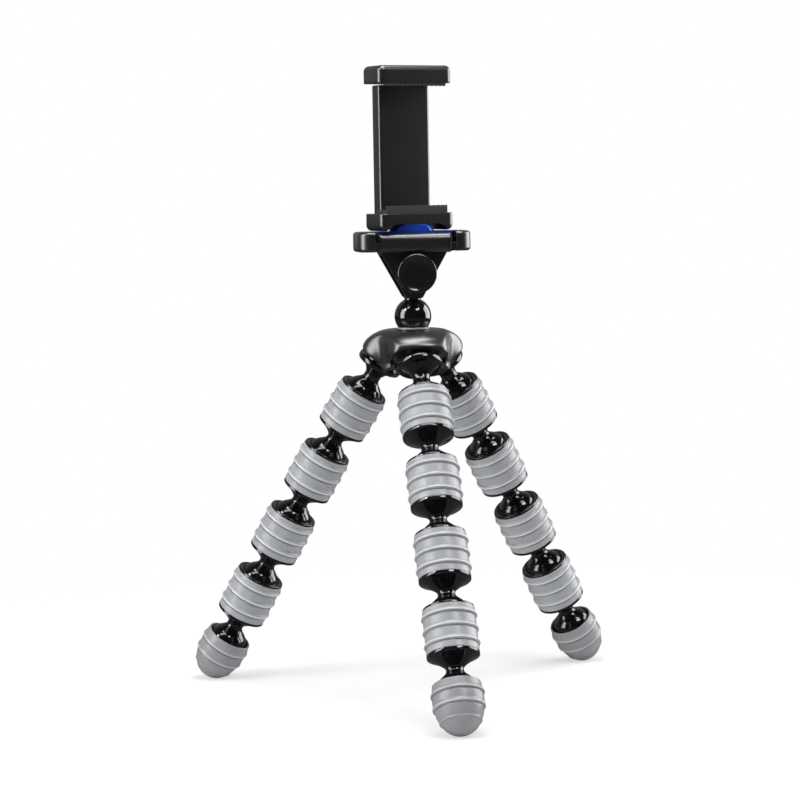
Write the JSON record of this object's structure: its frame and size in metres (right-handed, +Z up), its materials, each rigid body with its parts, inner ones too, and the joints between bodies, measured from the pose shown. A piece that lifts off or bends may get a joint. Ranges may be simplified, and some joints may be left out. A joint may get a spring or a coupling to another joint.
{
  "type": "camera tripod",
  "caption": "Table-top tripod with jointed ball-and-socket legs, a ball head and a spring clamp on a quick-release platform.",
  "frame": {"origin": "on the floor, under the middle of the stand's outer box", "axes": "+Z up; the front leg points along -Y; +X to the right seen from the front"},
  "size_m": [0.2064, 0.1818, 0.2957],
  "materials": {
    "satin_black": "satin moulded, fine grain",
    "gloss_black": "polished moulding",
    "grey_rubber": "smooth soft rubber",
    "dark_rubber": "fine toothed rubber",
    "blue_pad": "smooth rubber",
    "seat_grey": "satin",
    "black_metal": "gloss black",
    "screw_steel": "blackened steel",
    "brushed_steel": "drawn wire and turned steel",
    "brass_insert": "knurled, unpolished"
  },
  "bodies": {
    "root": {"hub_cover": "satin_black", "hub_base": "satin_black", "hub_screws": "screw_steel", "ball_seat": "seat_grey", "leg_1_root_ball": "gloss_black", "leg_2_root_ball": "gloss_black", "leg_3_root_ball": "gloss_black"},
    "leg_1_link_1": {"leg_1_link_1_shell": "gloss_black", "leg_1_link_1_sleeve": "grey_rubber"},
    "leg_1_link_2": {"leg_1_link_2_shell": "gloss_black", "leg_1_link_2_sleeve": "grey_rubber"},
    "leg_1_link_3": {"leg_1_link_3_shell": "gloss_black", "leg_1_link_3_sleeve": "grey_rubber"},
    "leg_1_link_4": {"leg_1_link_4_shell": "gloss_black", "leg_1_link_4_sleeve": "grey_rubber"},
    "leg_1_foot": {"leg_1_foot_core": "gloss_black", "leg_1_foot_boot": "grey_rubber"},
    "leg_2_link_1": {"leg_2_link_1_shell": "gloss_black", "leg_2_link_1_sleeve": "grey_rubber"},
    "leg_2_link_2": {"leg_2_link_2_shell": "gloss_black", "leg_2_link_2_sleeve": "grey_rubber"},
    "leg_2_link_3": {"leg_2_link_3_shell": "gloss_black", "leg_2_link_3_sleeve": "grey_rubber"},
    "leg_2_link_4": {"leg_2_link_4_shell": "gloss_black", "leg_2_link_4_sleeve": "grey_rubber"},
    "leg_2_foot": {"leg_2_foot_core": "gloss_black", "leg_2_foot_boot": "grey_rubber"},
    "leg_3_link_1": {"leg_3_link_1_shell": "gloss_black", "leg_3_link_1_sleeve": "grey_rubber"},
    "leg_3_link_2": {"leg_3_link_2_shell": "gloss_black", "leg_3_link_2_sleeve": "grey_rubber"},
    "leg_3_link_3": {"leg_3_link_3_shell": "gloss_black", "leg_3_link_3_sleeve": "grey_rubber"},
    "leg_3_link_4": {"leg_3_link_4_shell": "gloss_black", "leg_3_link_4_sleeve": "grey_rubber"},
    "leg_3_foot": {"leg_3_foot_core": "gloss_black", "leg_3_foot_boot": "grey_rubber"},
    "swivel": {"swivel_bolt": "screw_steel", "swivel_washer": "brushed_steel", "spring_washers": "brushed_steel"},
    "head": {"head_ball": "black_metal", "head_stem": "black_metal"},
    "yoke": {"yoke": "satin_black", "platform_tray": "satin_black", "tilt_bolt": "screw_steel", "release_spring": "brushed_steel"},
    "tilt_knob": {"tilt_knob": "satin_black"},
    "release_button": {"release_button": "satin_black"},
    "plate": {"camera_plate": "satin_black", "plate_pad": "blue_pad"},
    "camera_screw": {"camera_screw": "screw_steel"},
    "clamp": {"clamp_frame": "satin_black", "clamp_back_cover": "satin_black", "clamp_insert": "brass_insert", "lower_pad": "dark_rubber", "clamp_springs": "brushed_steel", "clamp_screws": "screw_steel"},
    "upper_jaw": {"upper_jaw": "satin_black", "upper_pad": "dark_rubber", "guide_rods": "brushed_steel"}
  },
  "joints": [
    {"name": "leg_1_ball_1", "type": "hinge", "parent": "root", "child": "leg_1_link_1", "pos_m": [0, -0.00106, 0.14014], "axis": [1, 0, 0], "range_deg": [-30, 30]},
    {"name": "leg_1_ball_2", "type": "hinge", "parent": "leg_1_link_1", "child": "leg_1_link_2", "pos_m": [0, -0.02061, 0.11015], "axis": [-1, 0, 0], "range_deg": [-30, 30]},
    {"name": "leg_1_ball_3", "type": "hinge", "parent": "leg_1_link_2", "child": "leg_1_link_3", "pos_m": [0, -0.03899, 0.07943], "axis": [1, 0, 0], "range_deg": [-30, 30]},
    {"name": "leg_1_ball_4", "type": "hinge", "parent": "leg_1_link_3", "child": "leg_1_link_4", "pos_m": [0, -0.05695, 0.04846], "axis": [-1, 0, 0], "range_deg": [-30, 30]},
    {"name": "leg_1_ball_5", "type": "hinge", "parent": "leg_1_link_4", "child": "leg_1_foot", "pos_m": [0, -0.07479, 0.01742], "axis": [1, 0, 0], "range_deg": [-30, 30]},
    {"name": "leg_2_ball_1", "type": "hinge", "parent": "root", "child": "leg_2_link_1", "pos_m": [-0.02382, 0.04019, 0.14014], "axis": [-0.5, -0.866, 0], "range_deg": [-30, 30]},
    {"name": "leg_2_ball_2", "type": "hinge", "parent": "leg_2_link_1", "child": "leg_2_link_2", "pos_m": [-0.04075, 0.04997, 0.11015], "axis": [0.5, 0.866, 0], "range_deg": [-30, 30]},
    {"name": "leg_2_ball_3", "type": "hinge", "parent": "leg_2_link_2", "child": "leg_2_link_3", "pos_m": [-0.05667, 0.05916, 0.07943], "axis": [-0.5, -0.866, 0], "range_deg": [-30, 30]},
    {"name": "leg_2_ball_4", "type": "hinge", "parent": "leg_2_link_3", "child": "leg_2_link_4", "pos_m": [-0.07222, 0.06814, 0.04846], "axis": [0.5, 0.866, 0], "range_deg": [-30, 30]},
    {"name": "leg_2_ball_5", "type": "hinge", "parent": "leg_2_link_4", "child": "leg_2_foot", "pos_m": [-0.08767, 0.07706, 0.01742], "axis": [-0.5, -0.866, 0], "range_deg": [-30, 30]},
    {"name": "leg_3_ball_1", "type": "hinge", "parent": "root", "child": "leg_3_link_1", "pos_m": [0.02382, 0.04019, 0.14014], "axis": [-0.5, 0.866, 0], "range_deg": [-30, 30]},
    {"name": "leg_3_ball_2", "type": "hinge", "parent": "leg_3_link_1", "child": "leg_3_link_2", "pos_m": [0.04075, 0.04997, 0.11015], "axis": [0.5, -0.866, 0], "range_deg": [-30, 30]},
    {"name": "leg_3_ball_3", "type": "hinge", "parent": "leg_3_link_2", "child": "leg_3_link_3", "pos_m": [0.05667, 0.05916, 0.07943], "axis": [-0.5, 0.866, 0], "range_deg": [-30, 30]},
    {"name": "leg_3_ball_4", "type": "hinge", "parent": "leg_3_link_3", "child": "leg_3_link_4", "pos_m": [0.07222, 0.06814, 0.04846], "axis": [0.5, -0.866, 0], "range_deg": [-30, 30]},
    {"name": "leg_3_ball_5", "type": "hinge", "parent": "leg_3_link_4", "child": "leg_3_foot", "pos_m": [0.08767, 0.07706, 0.01742], "axis": [-0.5, 0.866, 0], "range_deg": [-30, 30]},
    {"name": "pan", "type": "hinge", "parent": "root", "child": "swivel", "pos_m": [0, 0.02644, 0.17844], "axis": [0, 0, 1], "continuous": true},
    {"name": "tilt", "type": "hinge", "parent": "swivel", "child": "head", "pos_m": [0, 0.02644, 0.17844], "axis": [1, 0, 0], "range_deg": [-20, 20]},
    {"name": "roll", "type": "hinge", "parent": "head", "child": "yoke", "pos_m": [0, 0.02644, 0.19894], "axis": [0, 1, 0], "range_deg": [-60, 60]},
    {"name": "knob_turn", "type": "hinge", "parent": "yoke", "child": "tilt_knob", "pos_m": [0, 0.01544, 0.19894], "axis": [0, 1, 0], "range_deg": [0, 270]},
    {"name": "release_press", "type": "slide", "parent": "yoke", "child": "release_button", "axis": [0, 1, 0], "range_m": [0, 0.002], "stiffness_N_per_m": 500, "springref_m": -0.001},
    {"name": "plate_lift", "type": "slide", "parent": "yoke", "child": "plate", "axis": [0, 0, 1], "range_m": [0, 0.012]},
    {"name": "camera_screw_turn", "type": "hinge", "parent": "plate", "child": "camera_screw", "pos_m": [0, 0.02644, 0.21189], "axis": [0, 0, 1], "continuous": true},
    {"name": "clamp_turn", "type": "hinge", "parent": "plate", "child": "clamp", "pos_m": [0, 0.02644, 0.22189], "axis": [0, 0, 1], "continuous": true},
    {"name": "jaw_slide", "type": "slide", "parent": "clamp", "child": "upper_jaw", "axis": [0, 0, 1], "range_m": [0, 0.027], "stiffness_N_per_m": 100, "springref_m": -0.02, "deforming": ["clamp_springs"]}
  ]
}
